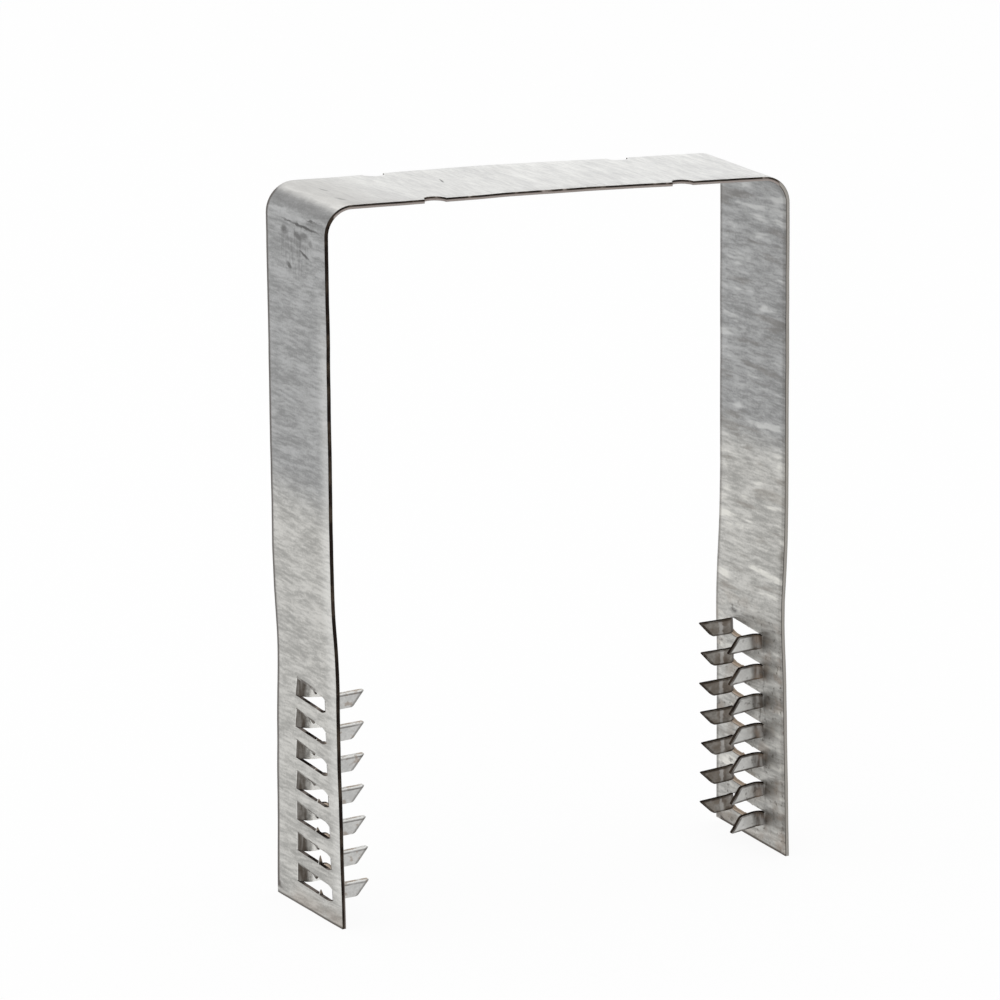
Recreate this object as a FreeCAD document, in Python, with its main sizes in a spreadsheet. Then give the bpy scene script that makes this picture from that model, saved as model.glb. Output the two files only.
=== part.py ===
import FreeCAD, Part
import math
import os
import Sketcher

# Stud tie: one strap of galvanised sheet folded into a U, which goes over a timber plate.
# It stands on the ends of its legs: +Z up, legs at -X and +X, the strap's width along Y with
# the front edge at -Y, and the origin between the leg ends. Each leg has rows of lanced teeth:
# a slot is cut along its two long edges and on the slant across its middle, and the two halves
# are bent inwards, so each row has a front and a back tooth with slanted ends.

# Driving dimensions in millimetres: alias, value, meaning
SIZES = [
    ("strap_width", 25.0, "width of the strap"),
    ("sheet", 0.8, "thickness of the sheet"),
    ("plate_gap", 91.0, "clear gap between the legs: a 90 mm plate and its play"),
    ("overall_height", 132.4, "leg ends to the highest point, over the fold at -X"),
    ("bridge_fall", 2.9, "how much lower the fold at +X was made"),
    ("fold_radius", 4.5, "inside radius of the two folds"),
    ("notch_spacing", 49.2, "between the two pairs of notches in the bridge's edges"),
    ("notch_radius", 2.1, "radius of a half-round notch"),
    ("rows", 7, "rows of teeth up a leg"),
    ("row_pitch", 5.85, "from one row to the next"),
    ("lowest_row", 5.4, "leg end to the middle of the lowest row"),
    ("slot_height", 3.1, "height of the slot that a row's teeth leave"),
    ("slot_length", 13.4, "between the bend lines of a row's two teeth"),
    ("left_offset", 1.9, "slots of the leg at -X, from the strap's centre line towards -Y"),
    ("right_offset", 1.3, "slots of the leg at +X, from the strap's centre line towards +Y"),
    ("shear_gap", 0.1, "clearance between a tooth's edge and its slot"),
    ("root_radius", 1.5, "inside radius of the bend at a tooth's root"),
    ("tooth_reach", 5.9, "leg's inner face to the middle of a tooth's slanted end"),
    ("tip_slant", 2.6, "a tooth's long edge less its short edge"),
]

LEFT, RIGHT = -1, 1
FRONT, BACK = -1, 1

# Sketch references: the origin point, the axes and the ends of a line or arc
ORIGIN = (-1, 1)
X_AXIS = ORIGIN[0]
START, END, CENTRE = 1, 2, 3

size = {alias: value for alias, value, meaning in SIZES}
doc = FreeCAD.newDocument("stud_tie")


def make_sheet():
    """Spreadsheet with one row for each driving dimension."""
    sheet = doc.addObject("Spreadsheet::Sheet", "sizes")
    for row, (alias, value, meaning) in enumerate(SIZES, start=1):
        sheet.set(f"A{row}", meaning)
        sheet.set(f"B{row}", str(value))
        sheet.setAlias(f"B{row}", alias)
    doc.recompute()


def origin_feature(body, role):
    """Origin plane or axis of the body, by its role."""
    return next(item for item in body.Origin.OriginFeatures if item.Role == role)


def add_sketch(body, name, plane, offset=None):
    """Empty sketch on an origin plane of the body, moved along its normal by an expression."""
    sketch = body.newObject("Sketcher::SketchObject", name)
    sketch.AttachmentSupport = [(origin_feature(body, plane), "")]
    sketch.MapMode = "FlatFace"
    if offset:
        sketch.setExpression("AttachmentOffset.Base.z", offset)
    return sketch


def add_line(sketch, start, end):
    """Straight line between two points, each an (x, y) pair or a vector."""
    return sketch.addGeometry(Part.LineSegment(FreeCAD.Vector(*start), FreeCAD.Vector(*end)))


def add_outline(sketch, points):
    """Closed outline of straight lines, joined at their ends. Gives the lines' numbers."""
    lines = [add_line(sketch, start, end) for start, end in zip(points, points[1:] + points[:1])]
    for line, following in zip(lines, lines[1:] + lines[:1]):
        tie(sketch, "Coincident", line, END, following, START)
    return lines


def add_arc(sketch, centre, radius, start, end):
    """Arc from one angle to another, in degrees, anticlockwise."""
    circle = Part.Circle(FreeCAD.Vector(*centre), FreeCAD.Vector(0, 0, 1), radius)
    return sketch.addGeometry(Part.ArcOfCircle(circle, math.radians(start), math.radians(end)))


def tie(sketch, kind, *items):
    """Constraint without a value."""
    sketch.addConstraint(Sketcher.Constraint(kind, *items))


def span(sketch, kind, first, second, expression):
    """DistanceX or DistanceY from the first point to the second, each a (line, end) pair."""
    reach = sketch.getPoint(*second) - sketch.getPoint(*first)
    value = reach.x if kind == "DistanceX" else reach.y
    number = sketch.addConstraint(Sketcher.Constraint(kind, *first, *second, value))
    sketch.setExpression(f"Constraints[{number}]", expression)


def place(sketch, kind, side, point, expression):
    """Distance of a point from the origin, on the negative or the positive side."""
    ends = (ORIGIN, point) if side > 0 else (point, ORIGIN)
    span(sketch, kind, *ends, expression)


def set_radius(sketch, arc, expression):
    """Radius of an arc or a circle, from an expression."""
    value = sketch.Geometry[arc].Radius
    number = sketch.addConstraint(Sketcher.Constraint("Radius", arc, value))
    sketch.setExpression(f"Constraints[{number}]", expression)


def add_pad(body, name, sketch, length, symmetric=False):
    """Pad of a sketch along its normal, or to both sides of it."""
    pad = body.newObject("PartDesign::Pad", name)
    pad.Profile = sketch
    if symmetric:
        pad.SideType = "Symmetric"
    pad.setExpression("Length", length)
    return pad


def add_cut(body, name, sketch, along_normal):
    """Cut through everything on one side of a sketch's plane."""
    pocket = body.newObject("PartDesign::Pocket", name)
    pocket.Profile = sketch
    pocket.Type = "ThroughAll"
    pocket.Reversed = along_normal
    return pocket


def folded_strap(body):
    """Side view of the U, with round folds and the bridge's fall, made as wide as the strap."""
    sketch = add_sketch(body, "side_view", "XZ_Plane")
    fold = size["fold_radius"]
    thick = size["sheet"]
    middle_x = size["plate_gap"] / 2 - fold
    heights = {LEFT: size["overall_height"] - fold - thick}
    heights[RIGHT] = heights[LEFT] - size["bridge_fall"]
    slope = math.degrees(math.atan2(size["bridge_fall"], 2 * middle_x))
    angles = {LEFT: (90 - slope, 180), RIGHT: (0, 90 - slope)}
    bridge_end = {LEFT: START, RIGHT: END}
    leg_end = {LEFT: END, RIGHT: START}

    arcs = {}
    for skin, radius, expression in (("inner", fold, "sizes.fold_radius"),
                                     ("outer", fold + thick, "sizes.fold_radius + sizes.sheet")):
        for side in (LEFT, RIGHT):
            centre = (side * middle_x, heights[side])
            arcs[side, skin] = add_arc(sketch, centre, radius, *angles[side])
            set_radius(sketch, arcs[side, skin], expression)
        left, right = arcs[LEFT, skin], arcs[RIGHT, skin]
        bridge = add_line(sketch, sketch.getPoint(left, bridge_end[LEFT]),
                          sketch.getPoint(right, bridge_end[RIGHT]))
        tie(sketch, "Tangent", left, bridge_end[LEFT], bridge, START)
        tie(sketch, "Tangent", bridge, END, right, bridge_end[RIGHT])

    for side in (LEFT, RIGHT):
        faces = []
        for skin in ("inner", "outer"):
            top = sketch.getPoint(arcs[side, skin], leg_end[side])
            face = add_line(sketch, top, (top.x, 0))
            tie(sketch, "Tangent", arcs[side, skin], leg_end[side], face, START)
            tie(sketch, "Vertical", face)
            tie(sketch, "PointOnObject", face, END, X_AXIS)
            faces.append(face)
        foot = add_line(sketch, sketch.getPoint(faces[0], END), sketch.getPoint(faces[1], END))
        tie(sketch, "Coincident", faces[0], END, foot, START)
        tie(sketch, "Coincident", faces[1], END, foot, END)
        tie(sketch, "Coincident", arcs[side, "inner"], CENTRE, arcs[side, "outer"], CENTRE)
        middle = (arcs[side, "inner"], CENTRE)
        place(sketch, "DistanceX", side, middle, "sizes.plate_gap / 2 - sizes.fold_radius")
        drop = " - sizes.bridge_fall" if side == RIGHT else ""
        place(sketch, "DistanceY", 1, middle,
              f"sizes.overall_height - sizes.fold_radius - sizes.sheet{drop}")
    return add_pad(body, "folded_strap", sketch, "sizes.strap_width", symmetric=True)


def edge_notches(body):
    """Two pairs of half-round notches in the edges of the bridge."""
    sketch = add_sketch(body, "notch_circles", "XY_Plane")
    for side in (LEFT, RIGHT):
        for edge in (FRONT, BACK):
            middle = FreeCAD.Vector(side * size["notch_spacing"] / 2, edge * size["strap_width"] / 2)
            outline = Part.Circle(middle, FreeCAD.Vector(0, 0, 1), size["notch_radius"])
            circle = sketch.addGeometry(outline)
            set_radius(sketch, circle, "sizes.notch_radius")
            place(sketch, "DistanceX", side, (circle, CENTRE), "sizes.notch_spacing / 2")
            place(sketch, "DistanceY", edge, (circle, CENTRE), "sizes.strap_width / 2")
    return add_cut(body, "notches", sketch, along_normal=True)


# Where a tooth's flat part begins, from the middle of the gap
BLADE_ROOT = "(sizes.plate_gap / 2 - sizes.root_radius)"
TOOTH_HEIGHT = "(sizes.slot_height - 2 * sizes.shear_gap)"
TOOTH_UNDERSIDE = f"(sizes.lowest_row - {TOOTH_HEIGHT} / 2)"
# Middle of a tooth's thickness, from its bend line
TOOTH_MIDDLE = "(sizes.root_radius + sizes.sheet / 2)"
OFFSET = {LEFT: "left_offset", RIGHT: "right_offset"}
LEG_NAME = {LEFT: "left", RIGHT: "right"}
TOOTH_NAME = {FRONT: "front", BACK: "back"}


def bend_line(leg, tooth):
    """Distance of a tooth's bend line from the strap's centre line: expression and value."""
    offset = OFFSET[leg]
    # The legs' rows are turn about: one leg's are off to the front, the other's to the back
    sign = "+" if tooth == leg else "-"
    value = size["slot_length"] / 2 + tooth * leg * size[offset]
    return f"(sizes.slot_length / 2 {sign} sizes.{offset})", value


def row_slot(body, leg):
    """Slot of the lowest row, through one leg."""
    sketch = add_sketch(body, f"{LEG_NAME[leg]}_slot_outline", "YZ_Plane")
    expression, value = bend_line(leg, FRONT)
    front, back = -value, size["slot_length"] - value
    low = size["lowest_row"] - size["slot_height"] / 2
    high = low + size["slot_height"]
    bottom, far, top, near = add_outline(
        sketch, [(front, low), (back, low), (back, high), (front, high)])
    for level in (bottom, top):
        tie(sketch, "Horizontal", level)
    for upright in (near, far):
        tie(sketch, "Vertical", upright)
    place(sketch, "DistanceX", FRONT, (bottom, START), expression)
    span(sketch, "DistanceX", (bottom, START), (bottom, END), "sizes.slot_length")
    span(sketch, "DistanceY", (far, START), (far, END), "sizes.slot_height")
    place(sketch, "DistanceY", 1, (bottom, START), "sizes.lowest_row - sizes.slot_height / 2")
    return add_cut(body, f"{LEG_NAME[leg]}_slot", sketch, along_normal=leg == RIGHT)


def root_bends(body, leg):
    """Quarter bends, seen from above, from the leg into the lowest row's two teeth."""
    sketch = add_sketch(body, f"{LEG_NAME[leg]}_root_plan", "XY_Plane", TOOTH_UNDERSIDE)
    radius = size["root_radius"]
    middle_x = leg * (size["plate_gap"] / 2 - radius)
    for tooth in (FRONT, BACK):
        expression, value = bend_line(leg, tooth)
        middle = (middle_x, tooth * value)
        towards_leg = 0 if leg == RIGHT else 180
        towards_slot = 90 if tooth == FRONT else (270 if leg == LEFT else -90)
        angles = sorted((towards_leg, towards_slot))
        inside = add_arc(sketch, middle, radius, *angles)
        outside = add_arc(sketch, middle, radius + size["sheet"], *angles)
        for end, angle in zip((START, END), angles):
            joint = add_line(sketch, sketch.getPoint(inside, end), sketch.getPoint(outside, end))
            tie(sketch, "Coincident", inside, end, joint, START)
            tie(sketch, "Coincident", outside, end, joint, END)
            direction = "Horizontal" if angle == towards_leg else "Vertical"
            tie(sketch, direction, joint)
            tie(sketch, direction, inside, CENTRE, inside, end)
        tie(sketch, "Coincident", inside, CENTRE, outside, CENTRE)
        set_radius(sketch, inside, "sizes.root_radius")
        set_radius(sketch, outside, "sizes.root_radius + sizes.sheet")
        place(sketch, "DistanceX", leg, (inside, CENTRE), BLADE_ROOT)
        place(sketch, "DistanceY", tooth, (inside, CENTRE), expression)
    return add_pad(body, f"{LEG_NAME[leg]}_roots", sketch, TOOTH_HEIGHT)


def blade(body, leg, tooth):
    """Flat part of one tooth. Its slanted end has the tip up or down, turn about between legs."""
    name = f"{LEG_NAME[leg]}_{TOOTH_NAME[tooth]}_tooth"
    expression, value = bend_line(leg, tooth)
    plane = f"-1 * {tooth} * ({expression} - {TOOTH_MIDDLE})"
    sketch = add_sketch(body, f"{name}_outline", "XZ_Plane", plane)
    tip_up = leg == tooth
    root = leg * (size["plate_gap"] / 2 - size["root_radius"])
    low = size["lowest_row"] - size["slot_height"] / 2 + size["shear_gap"]
    high = low + size["slot_height"] - 2 * size["shear_gap"]
    straight = size["tooth_reach"] - size["root_radius"]
    lean = size["tip_slant"] / 2 if tip_up else -size["tip_slant"] / 2
    bottom, tip, top, back = add_outline(sketch, [
        (root, low),
        (root - leg * (straight - lean), low),
        (root - leg * (straight + lean), high),
        (root, high),
    ])
    for level in (bottom, top):
        tie(sketch, "Horizontal", level)
    tie(sketch, "Vertical", back)
    place(sketch, "DistanceX", leg, (bottom, START), BLADE_ROOT)
    place(sketch, "DistanceY", 1, (bottom, START), TOOTH_UNDERSIDE)
    span(sketch, "DistanceY", (back, END), (back, START), TOOTH_HEIGHT)
    slants = {True: "+", False: "-"}
    for point, longer in (((bottom, END), not tip_up), ((top, START), tip_up)):
        reach = f"sizes.tooth_reach {slants[longer]} sizes.tip_slant / 2"
        place(sketch, "DistanceX", leg, point, f"sizes.plate_gap / 2 - ({reach})")
    return add_pad(body, name, sketch, "sizes.sheet", symmetric=True)


def tooth_rows(body, leg):
    """Rows of teeth up one leg: the lowest row, repeated upwards."""
    row = [row_slot(body, leg), root_bends(body, leg), blade(body, leg, FRONT), blade(body, leg, BACK)]
    doc.recompute()
    pattern = body.newObject("PartDesign::LinearPattern", f"{LEG_NAME[leg]}_rows")
    pattern.Originals = row
    pattern.Direction = (origin_feature(body, "Z_Axis"), [""])
    pattern.Mode = "Spacing"
    pattern.setExpression("Offset", "sizes.row_pitch")
    pattern.setExpression("Occurrences", "sizes.rows")
    body.Tip = pattern
    doc.recompute()


def check(body):
    """Stops with a message if an object failed, a cut missed or the tie isn't one sound solid."""
    failed = [item.Name for item in doc.Objects if {"Invalid", "Error"} & set(item.State)]
    if failed:
        raise RuntimeError(f"failed objects: {failed}")
    shape = body.Shape
    if shape.isNull() or not shape.isValid() or len(shape.Solids) != 1:
        raise RuntimeError("the tie isn't one valid solid")
    for before, after in (("folded_strap", "notches"), ("notches", "left_slot"), ("left_rows", "right_slot")):
        if doc.getObject(after).Shape.Volume >= doc.getObject(before).Shape.Volume:
            raise RuntimeError(f"{after} cuts nothing")


def main():
    make_sheet()
    body = doc.addObject("PartDesign::Body", "stud_tie")
    body.Label = "stud_tie"
    folded_strap(body)
    edge_notches(body)
    for leg in (LEFT, RIGHT):
        tooth_rows(body, leg)
    check(body)
    os.makedirs("parts", exist_ok=True)
    body.Shape.exportStep(f"parts/{body.Label}.step")
    box = body.Shape.BoundBox
    print(f"stud_tie {box.XLength:.2f} x {box.YLength:.2f} x {box.ZLength:.2f} mm, "
          f"{body.Shape.Volume:.1f} mm3, {len(body.Shape.Faces)} faces")


main()
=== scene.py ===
"""Stud tie: a galvanised strap with lanced teeth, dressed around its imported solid."""

import math
import random
from types import SimpleNamespace

import bmesh
import bpy
from bpy.props import FloatProperty, FloatVectorProperty, IntProperty, PointerProperty
from mathutils import Matrix, Vector


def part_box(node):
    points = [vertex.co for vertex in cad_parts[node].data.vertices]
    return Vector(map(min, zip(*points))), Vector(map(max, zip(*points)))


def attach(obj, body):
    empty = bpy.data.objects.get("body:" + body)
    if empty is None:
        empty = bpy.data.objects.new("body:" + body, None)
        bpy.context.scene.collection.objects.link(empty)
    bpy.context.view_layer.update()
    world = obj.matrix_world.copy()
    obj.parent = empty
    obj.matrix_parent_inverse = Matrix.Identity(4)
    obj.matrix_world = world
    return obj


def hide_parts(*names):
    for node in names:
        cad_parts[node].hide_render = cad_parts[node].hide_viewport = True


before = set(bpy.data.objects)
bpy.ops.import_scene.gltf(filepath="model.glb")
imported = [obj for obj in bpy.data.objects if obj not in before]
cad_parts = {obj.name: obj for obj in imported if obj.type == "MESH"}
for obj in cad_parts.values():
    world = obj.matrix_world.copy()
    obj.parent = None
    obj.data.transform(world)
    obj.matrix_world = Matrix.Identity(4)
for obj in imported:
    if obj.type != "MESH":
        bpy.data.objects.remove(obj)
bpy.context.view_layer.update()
SOLID = "stud_tie"
SOLID_LOW, SOLID_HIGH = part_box(SOLID)

bl_info = {
    "name": "Stud tie",
    "version": (1, 0, 0),
    "blender": (4, 5, 0),
    "location": "View3D > Sidebar > Stud tie",
    "description": "Models a folded strap with lanced teeth and the studio that it stands in",
    "category": "Add Mesh",
}

MM = 0.001
LEFT, RIGHT = -1, 1
FRONT, BACK = -1, 1
LOWER, UPPER = -1, 1
CLOSE = 2e-6
SEED = 11

# Steps of the curved parts, and the longest steps between lines: across the strap, along the
# bridge, up the rows of teeth and up the plain part of a leg
NOTCH_STEPS, FOLD_STEPS, ROOT_STEPS = 10, 12, 7
ACROSS_STEP, BRIDGE_STEP, ROW_STEP, LEG_STEP = 1.0 * MM, 1.6 * MM, 1.05 * MM, 2.0 * MM

# Values written on the mesh for its materials, and the reach of what they mark: painted shade and stain on
# a tooth past its bend, painted shade on a leg beside a tooth, and a stain along a slot's edge
MARKS = ("tooth", "root_stain", "leg_shade", "slot_lip", "edge_gap", "tooth_rise", "tip_gap")
ROOT_SHADE_AND_STAIN_REACH, LEG_SHADE_REACH, LIP_STAIN = 2.5 * MM, 5.2 * MM, 0.9 * MM

# From the lowest row up: extra length of the left leg's front teeth, and height of the burrs on
# the left slots' lower edges, as shares of the largest
LEFT_FRONT_LONGER = (0.1, 0.7, -0.1, 0.2, 0.1, 0.4, 1.0)
LEFT_BURRS = (0.6, 1.0, 0.5, 0.35, 0.12, 0.1, 0.08)

# Heights between which the slots' lift and skew die out: above a leg's end, and above the highest row
FOOT_BAND = 4 * MM
PLAIN_BAND = 18 * MM

# Strips along the strap's long edges: left in one step across, and taken as its own edge
EDGE_MARGIN, OWN_EDGE = 3 * MM, 0.9 * MM

# A foot's height, a height clear of the highest row, and the stretch of leg that is plain on both sides
FOOT_HEIGHT, ABOVE_ROWS, PLAIN_LEG = 3 * MM, 8 * MM, (60 * MM, 110 * MM)

# Depth behind a leg that holds all of its teeth, and depth from which a tooth is all blade
TEETH_DEPTH, BLADE_DEPTH = 20 * MM, 3 * MM

# Reach over which the sheet follows a shifted notch, and a left tooth that creeps forward
NOTCH_REACH, CREEP_REACH = 5 * MM, 2.4 * MM

# Scuffs on the left leg under the fold, nicks on the bridge and a stain over the right leg's slots:
# middle and half sizes in millimetres, turn in degrees about X and Z, and depth of tone
SCUFFS = (
    ((-45.0, 0.0, 130.45), (9.0, 40.0, 1.6), (0, 0), 0.52),
    ((-46.2, -2.4, 127.25), (1.5, 11.5, 0.34), (0.5, 0), 0.95),
    ((-46.2, -5.4, 127.25), (1.5, 5.0, 0.42), (1, 0), 0.9),
    ((-46.0, -7.2, 128.75), (1.5, 4.0, 0.30), (-1, 0), 0.9),
    ((-46.0, -6.9, 128.2), (1.5, 3.9, 0.8), (-3, 0), 0.45),
    ((-46.3, 4.5, 125.4), (1.5, 2.0, 1.2), (0, 0), 0.8),
    ((-46.3, -1.0, 125.3), (1.5, 2.6, 1.0), (10, 0), 0.8),
    ((-46.3, -4.0, 125.6), (1.5, 2.4, 0.9), (-8, 0), 0.7),
    ((-46.3, 0.5, 124.0), (1.5, 8.0, 0.8), (3, 0), 0.45),
    ((-46.3, -3.8, 122.3), (1.5, 3.2, 0.42), (13, 0), 0.95),
    ((-46.3, 2.6, 119.3), (1.5, 1.7, 0.7), (20, 0), 0.85),
    ((-46.3, 1.5, 122.5), (1.5, 6.0, 0.8), (6, 0), 0.45),
    ((-46.3, -6.5, 124.6), (1.5, 1.2, 1.0), (0, 0), 0.5),
    ((-16.6, 1.9, 131.5), (0.30, 2.4, 1.5), (0, -12), 0.9),
    ((-39.7, 1.9, 132.3), (0.45, 2.0, 1.5), (0, 10), 0.5),
    ((-40.4, -6.9, 132.3), (0.5, 2.2, 1.5), (0, 15), 0.5),
    ((44.5, 5.5, 43.3), (0.9, 1.9, 0.8), (0, 0), 0.85),
)


def number(name, description, default, **settings):
    """A property for a number."""
    return FloatProperty(name=name, description=description, default=default, **settings)


def length(name, description, default):
    """A property for a length in metres."""
    return number(name, description, default, unit="LENGTH", precision=6)


def angle(name, description, degrees):
    """A property for an angle, given in degrees."""
    return number(name, description, math.radians(degrees), subtype="ANGLE", precision=4)


def colour(name, description, default):
    """A property for a colour."""
    return FloatVectorProperty(
        name=name, description=description, default=default, subtype="COLOR", size=3, min=0.0, max=1.0
    )


def point(name, description, default):
    """A property for a place in metres."""
    return FloatVectorProperty(
        name=name, description=description, default=default, subtype="TRANSLATION", unit="LENGTH",
        precision=6,
    )


class StrapSizes(bpy.types.PropertyGroup):
    """Sizes of the folded strap and its teeth."""

    width: length("Width", "Width of the strap", SOLID_HIGH.y - SOLID_LOW.y)
    span: length("Span", "Distance over the outer faces of the legs", SOLID_HIGH.x - SOLID_LOW.x)
    height: length("Height", "Height over the left fold", round(SOLID_HIGH.z, 4))
    sheet: length("Sheet", "Thickness of the sheet", 0.8 * MM)
    bridge_fall: length("Bridge fall", "Drop of the bridge from the left fold to the right one", 2.9 * MM)
    fold_radius: length("Fold radius", "Inner radius of the two folds", 4.5 * MM)
    notch_spacing: length("Notch spacing", "Distance between the notches along the bridge", 49.2 * MM)
    notch_radius: length("Notch radius", "Radius of the half-round edge notches", 2.1 * MM)
    rows: IntProperty(name="Rows", description="Rows of teeth on each leg", default=7, min=1)
    row_pitch: length("Row pitch", "Distance from one row to the next", 5.85 * MM)
    lowest_row: length("Lowest row", "Height of the lowest row's middle", 5.4 * MM)
    slot_height: length("Slot height", "Height of the slot that a pair of teeth leaves", 3.1 * MM)
    slot_length: length("Slot length", "Distance between a slot's two bends", 13.4 * MM)
    left_shift: length("Left shift", "Left slots' distance to the front of the middle", 1.9 * MM)
    right_shift: length("Right shift", "Right slots' distance to the front of the middle", -1.3 * MM)
    root_radius: length("Root radius", "Inner radius of the teeth's bends", 1.5 * MM)
    tooth_reach: length("Tooth reach", "Reach of a tooth's middle beyond the leg's inner face", 5.9 * MM)
    tip_slant: length("Tip slant", "How much longer a tooth's long edge is than its short one", 2.6 * MM)
    shear_gap: length("Shear gap", "Play between a tooth and its slot", 0.1 * MM)
    corner_reach: length("Corner reach", "Length of slot edge that runs down into a tooth's bend", 2.0 * MM)
    corner_drop: length("Corner drop", "How far the slot edge has run down at the bend", 0.75 * MM)
    flare_reach: length("Flare reach", "Length of edge over which the left slots grow taller", 6.5 * MM)
    flare_rise: length("Flare rise", "How much taller the left slots are at their back ends", 0.3 * MM)
    tip_round: length("Tip round", "Rounding of the teeth's corners", 0.4 * MM)
    edge_roll: length("Edge roll", "Easing of the strap's own sheared edges", 0.048 * MM)


class StrapWear(bpy.types.PropertyGroup):
    """How far this strap is from straight."""

    left_twist: angle("Left twist", "Turn of the left leg's foot, front edge to the right", 3.4)
    right_twist: angle("Right twist", "Turn of the right leg's foot, front edge to the right", 2.6)
    right_splay: length("Right splay", "How far the right foot springs out again", 0.37 * MM)
    twist_height: length("Twist height", "Height at which the twist has died out", 48 * MM)
    neck_height: length("Neck height", "Height up to which the legs lean inwards", 44 * MM)
    neck_lean: length("Neck lean", "Inward lean of the toothed part", 0.55 * MM)
    neck_reach: length("Neck reach", "Length of leg over which the lean dies out", 26 * MM)
    neck_pinch: length("Neck pinch", "Further lean at the neck itself", 0.2 * MM)
    pinch_reach: length("Pinch reach", "Length of leg that the pinch takes in", 12 * MM)
    crown: length("Crown", "Rise of the bridge's middle", 0.34 * MM)
    crown_reach: length("Crown reach", "Length of bridge each side that the rise takes in", 40 * MM)
    wave: length("Wave", "Depth of the sheet's waves", 0.16 * MM)
    wave_size: length("Wave size", "Size of the sheet's waves", 9 * MM)
    tooth_turn: angle("Tooth turn", "Largest turn of a tooth from square", 2.0)
    tooth_droop: angle("Tooth droop", "Largest tilt of a tooth up or down", 1.2)
    left_skew: number("Left skew", "Rise of the left slots per length to the back", 0.038)
    right_skew: number("Right skew", "Rise of the right slots per length to the back", 0.06)
    left_lift: length("Left lift", "Rise of the left slots", 0.4 * MM)
    right_sink: length("Right sink", "Drop of the highest right slot", 0.65 * MM)
    foot_lift: length("Foot lift", "Rise of the right foot's slanted end at its middle", 0.45 * MM)
    left_front_rise: angle("Left front rise", "How far the left leg's front teeth tilt up", 1.5)
    left_front_spread: length("Left front spread", "Most extra length of a left front tooth", 0.6 * MM)
    left_back_droop: angle("Left back droop", "How far the left leg's higher back teeth hang", 4.5)
    right_front_short: length("Right front short", "How much shorter the right front teeth are", 0.5 * MM)
    right_front_droop: angle("Right front droop", "How far the right leg's front teeth hang", 4.0)
    right_droop: angle("Right droop", "How much further the right leg's lowest teeth hang", 4.4)
    slot_creep: length("Slot creep", "How much further forward the lowest left slot reaches", 1.2 * MM)
    creep_back: length("Creep back", "How much of that its highest slot falls short", 0.25 * MM)
    spur: length("Spur", "Tallest burr where the slanted cut met a slot's edge", 1.5 * MM)
    front_notch_shift: length("Front notch shift", "Front notches' distance to the left of even", 0.3 * MM)
    back_notch_shift: length("Back notch shift", "Back notches' distance to the left of even", 0.9 * MM)


class StrapFinish(bpy.types.PropertyGroup):
    """Colours of the galvanised sheet."""

    zinc_pale: colour("Pale zinc", "Pale streaks and patches", (0.625, 0.625, 0.62))
    zinc_deep: colour("Deep zinc", "Dark streaks and patches", (0.35, 0.35, 0.345))
    upper_tint: colour("Upper tint", "Shade of the legs' upper part", (0.69, 0.695, 0.70))
    lower_tint: colour("Lower tint", "Shade of the legs' lower part", (0.97, 0.955, 0.915))
    # Bright zinc, mostly for painted highlights: the top of the bridge, the left leg's front edge, the left
    # teeth's top edges and their shaded blades; also the pale crests of the right leg's streaks
    bright_zinc_and_highlight: colour("Bridge zinc", "Clean zinc on top of the bridge", (0.94, 0.94, 0.915))
    # Darker zinc laid towards the left fold as painted shade
    fold_shade_zinc: colour("Fold zinc", "Duller zinc towards the left fold", (0.44, 0.425, 0.40))
    # Dark colour for the painted shade at and beside the teeth's bends, and for real stains, specks and
    # dark lines
    root_stain: colour("Root stain", "Stain on the teeth's bends", (0.056, 0.043, 0.032))
    # Darker brown-grey for the right teeth's front-facing sides and the troughs of the right leg's streaks
    brown_grey: colour("Blade stain", "Rubbed side of the teeth", (0.23, 0.20, 0.17))
    rust: colour("Rust", "Rust beside the teeth", (0.24, 0.165, 0.11))
    scuff: colour("Scuff", "Dark scuffs near the left fold", (0.075, 0.073, 0.07))
    cut_dark: colour("Dark cut", "Dark parts of the sheared edges", (0.016, 0.012, 0.010))
    cut_pale: colour("Pale cut", "Pale parts of the sheared edges", (0.40, 0.35, 0.325))
    cut_tan: colour("Tan cut", "Stained walls of the right leg's slots", (0.50, 0.40, 0.31))
    cut_bright: colour("Bright cut", "Burnished edge of the right leg", (0.38, 0.36, 0.33))


class StageLook(bpy.types.PropertyGroup):
    """Camera, light and floor."""

    azimuth: angle("Azimuth", "Turn of the camera round the tie, to the left of the front", -26.118)
    elevation: angle("Elevation", "Camera's height above the horizon", 14.521)
    roll: angle("Roll", "Turn of the camera about its own line of sight", -0.514)
    distance: length("Distance", "Camera's distance from its aim", 1050.997 * MM)
    aim: point("Aim", "Point that the camera looks at", (-6.521 * MM, 0.0, 72.172 * MM))
    focal: number("Focal length", "In pixels of a 1000 pixel image", 5797.09)
    floor_size: length("Floor size", "Side of the square floor", 8.0)
    floor_white: number(
        "Floor white", "Share of the floor that is plain white", 0.92, min=0.0, max=1.0, subtype="FACTOR"
    )
    horizon_power: number("Horizon power", "Strength of the light near the horizon", 1.08)
    sky_power: number("Sky power", "Strength of the light from higher up", 0.45)
    lamp_power: number("Lamp power", "Softbox in watts", 24.0, unit="POWER")
    lamp_size: length("Lamp size", "Side of the square softbox", 3.0)
    lamp_place: point("Lamp place", "Middle of the softbox", (-0.25, 0.25, 1.3))


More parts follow.
